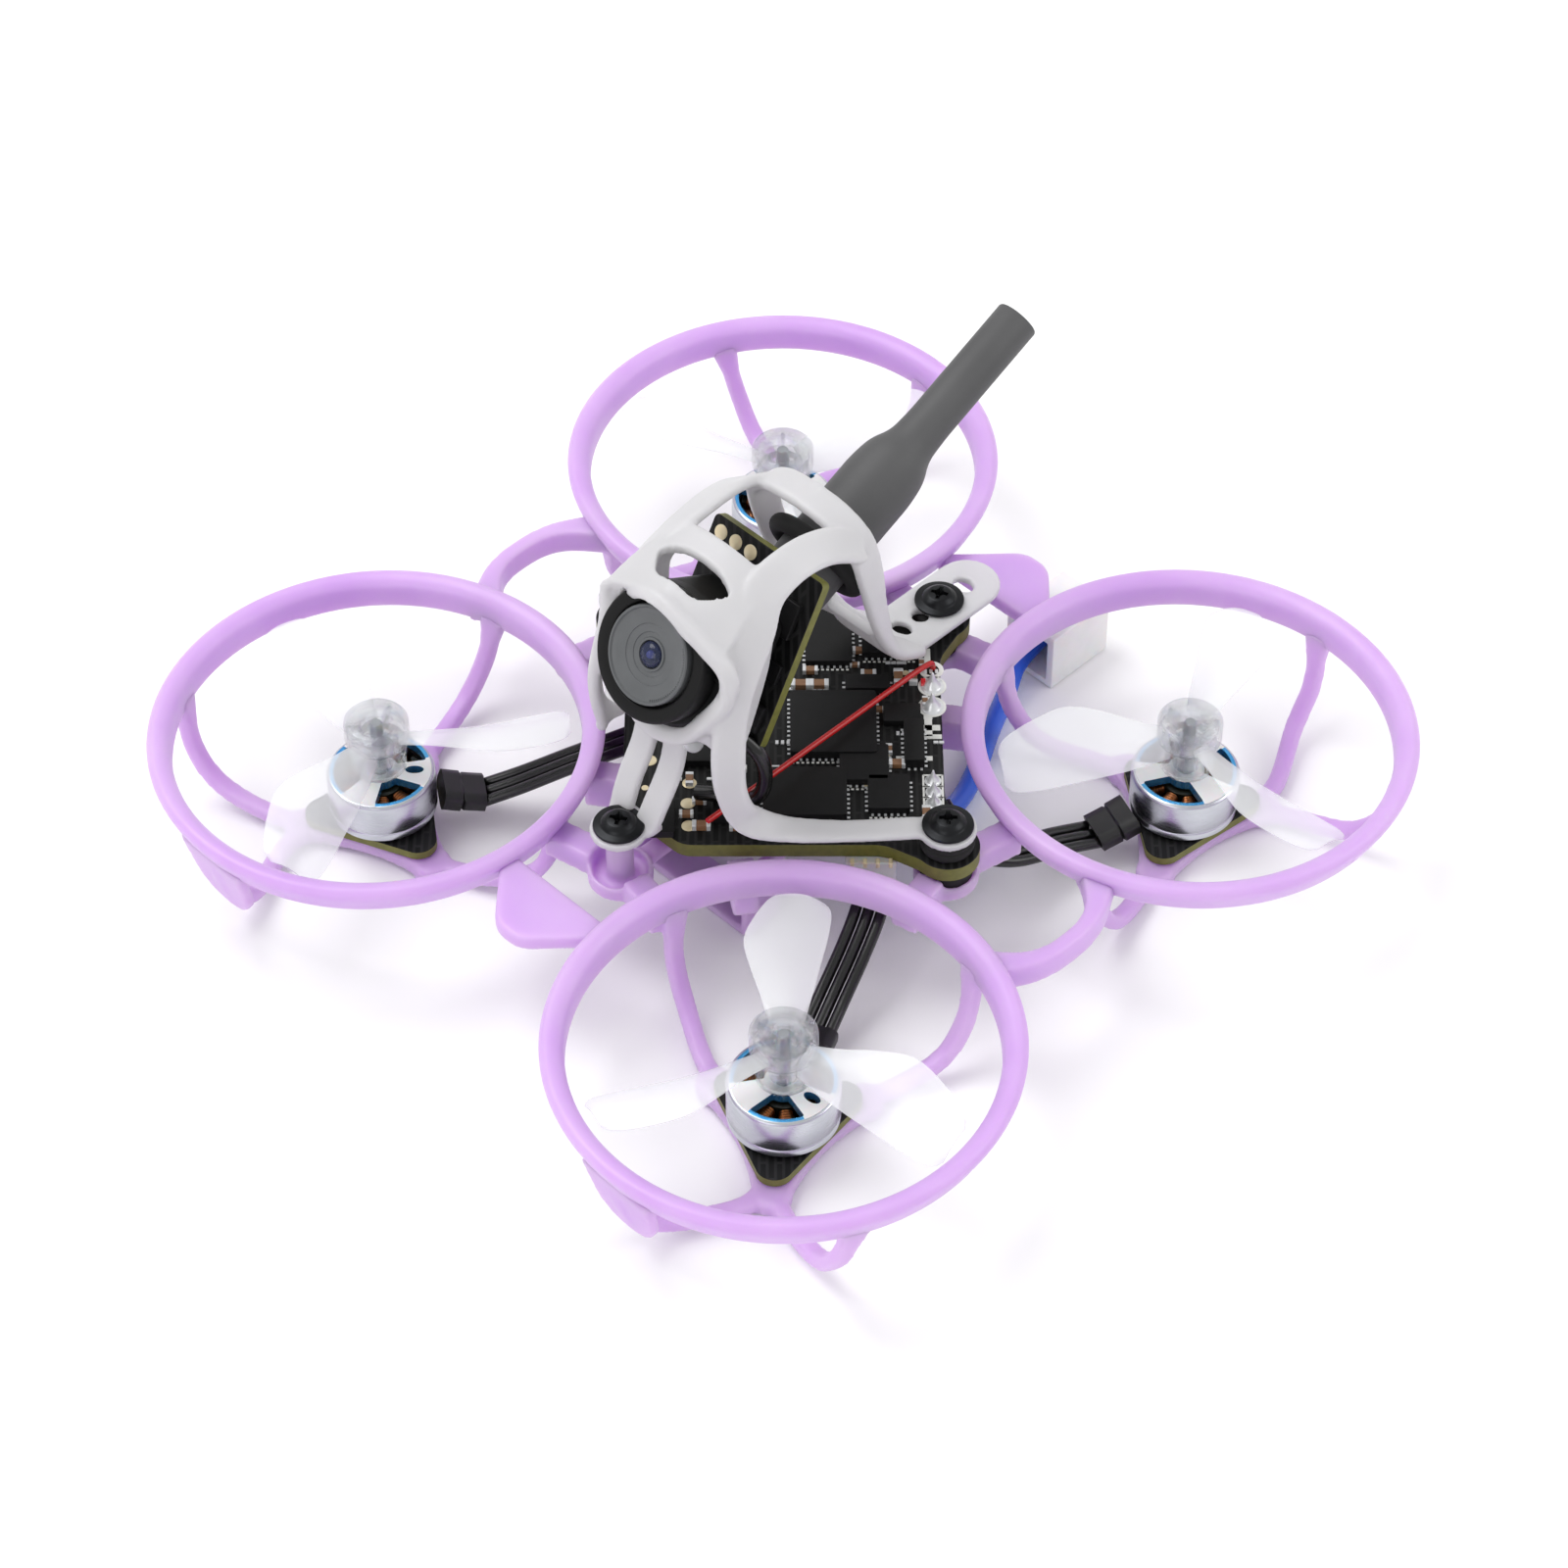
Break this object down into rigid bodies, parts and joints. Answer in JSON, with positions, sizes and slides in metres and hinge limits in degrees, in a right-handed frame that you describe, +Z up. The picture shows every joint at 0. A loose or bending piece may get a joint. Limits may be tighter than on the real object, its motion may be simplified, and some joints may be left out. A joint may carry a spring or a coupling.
{
  "type": "fpv racing drone",
  "caption": "Small ducted racing quadcopter: lavender duct frame, frosted canopy over a tilted camera, clear bladed propellers that spin, and a stub antenna.",
  "frame": {"origin": "on the ground under the middle of the airframe", "axes": "+Z up; the nose, with the camera, points along -Y; right and left are as seen from in front, so right is +X"},
  "size_m": [0.0826, 0.0826, 0.0399],
  "materials": {
    "frame_nylon": "translucent lavender moulded nylon",
    "canopy_nylon": "frosted natural white moulded nylon",
    "clear_polycarbonate": "clear moulded polycarbonate",
    "bell_metal": "turned and polished",
    "steel": "ground steel pin",
    "copper_winding": "enamelled copper wire on a dark core",
    "circuit_board": "black solder mask",
    "black_rubber": "matt moulded rubber",
    "screw_steel": "black oxide",
    "chip_plastic": "moulded epoxy",
    "camera_plastic": "black moulded plastic",
    "lens_plastic": "grey moulded plastic",
    "lens_glass": "coated glass",
    "antenna_sleeve": "dark grey soft tube",
    "wire_black": "silicone insulation",
    "wire_red": "enamelled wire",
    "wire_blue": "silicone insulation",
    "white_plastic": "natural moulded nylon"
  },
  "bodies": {
    "airframe": {"duct_frame": "frame_nylon", "motor_board_front_right": "circuit_board", "stator_front_right": "copper_winding", "lead_sleeve_front_right": "black_rubber", "motor_lead_front_right_1": "wire_black", "motor_lead_front_right_2": "wire_black", "motor_lead_front_right_3": "wire_black", "motor_board_front_left": "circuit_board", "stator_front_left": "copper_winding", "lead_sleeve_front_left": "black_rubber", "motor_lead_front_left_1": "wire_black", "motor_lead_front_left_2": "wire_black", "motor_lead_front_left_3": "wire_black", "motor_board_rear_right": "circuit_board", "stator_rear_right": "copper_winding", "lead_sleeve_rear_right": "black_rubber", "motor_lead_rear_right_1": "wire_black", "motor_lead_rear_right_2": "wire_black", "motor_lead_rear_right_3": "wire_black", "motor_board_rear_left": "circuit_board", "stator_rear_left": "copper_winding", "lead_sleeve_rear_left": "black_rubber", "motor_lead_rear_left_1": "wire_black", "motor_lead_rear_left_2": "wire_black", "motor_lead_rear_left_3": "wire_black", "flight_board": "circuit_board", "grommet_right": "black_rubber", "grommet_left": "black_rubber", "grommet_rear": "black_rubber", "screw_front": "screw_steel", "screw_right": "screw_steel", "screw_left": "screw_steel", "screw_rear": "screw_steel", "processor_chip": "chip_plastic", "driver_chip": "chip_plastic", "canopy": "canopy_nylon", "video_board": "circuit_board", "camera_housing": "camera_plastic", "lens_barrel": "lens_plastic", "lens_glass": "lens_glass", "antenna_sleeve": "antenna_sleeve", "antenna_ring": "black_rubber", "receiver_antenna": "wire_red", "motor_plug": "white_plastic", "lead_terminal": "white_plastic", "battery_lead": "wire_blue", "battery_plug": "white_plastic"},
    "rotor_front_right": {"motor_bell_front_right": "bell_metal", "motor_shaft_front_right": "steel", "propeller_front_right": "clear_polycarbonate"},
    "rotor_front_left": {"motor_bell_front_left": "bell_metal", "motor_shaft_front_left": "steel", "propeller_front_left": "clear_polycarbonate"},
    "rotor_rear_right": {"motor_bell_rear_right": "bell_metal", "motor_shaft_rear_right": "steel", "propeller_rear_right": "clear_polycarbonate"},
    "rotor_rear_left": {"motor_bell_rear_left": "bell_metal", "motor_shaft_rear_left": "steel", "propeller_rear_left": "clear_polycarbonate"}
  },
  "joints": [
    {"name": "spin_front_right", "type": "hinge", "parent": "airframe", "child": "rotor_front_right", "pos_m": [0.02298, -0.02298, 0.0065], "axis": [0, 0, 1], "continuous": true},
    {"name": "spin_front_left", "type": "hinge", "parent": "airframe", "child": "rotor_front_left", "pos_m": [-0.02298, -0.02298, 0.0065], "axis": [0, 0, 1], "continuous": true},
    {"name": "spin_rear_right", "type": "hinge", "parent": "airframe", "child": "rotor_rear_right", "pos_m": [0.02298, 0.02298, 0.0065], "axis": [0, 0, 1], "continuous": true},
    {"name": "spin_rear_left", "type": "hinge", "parent": "airframe", "child": "rotor_rear_left", "pos_m": [-0.02298, 0.02298, 0.0065], "axis": [0, 0, 1], "continuous": true}
  ]
}
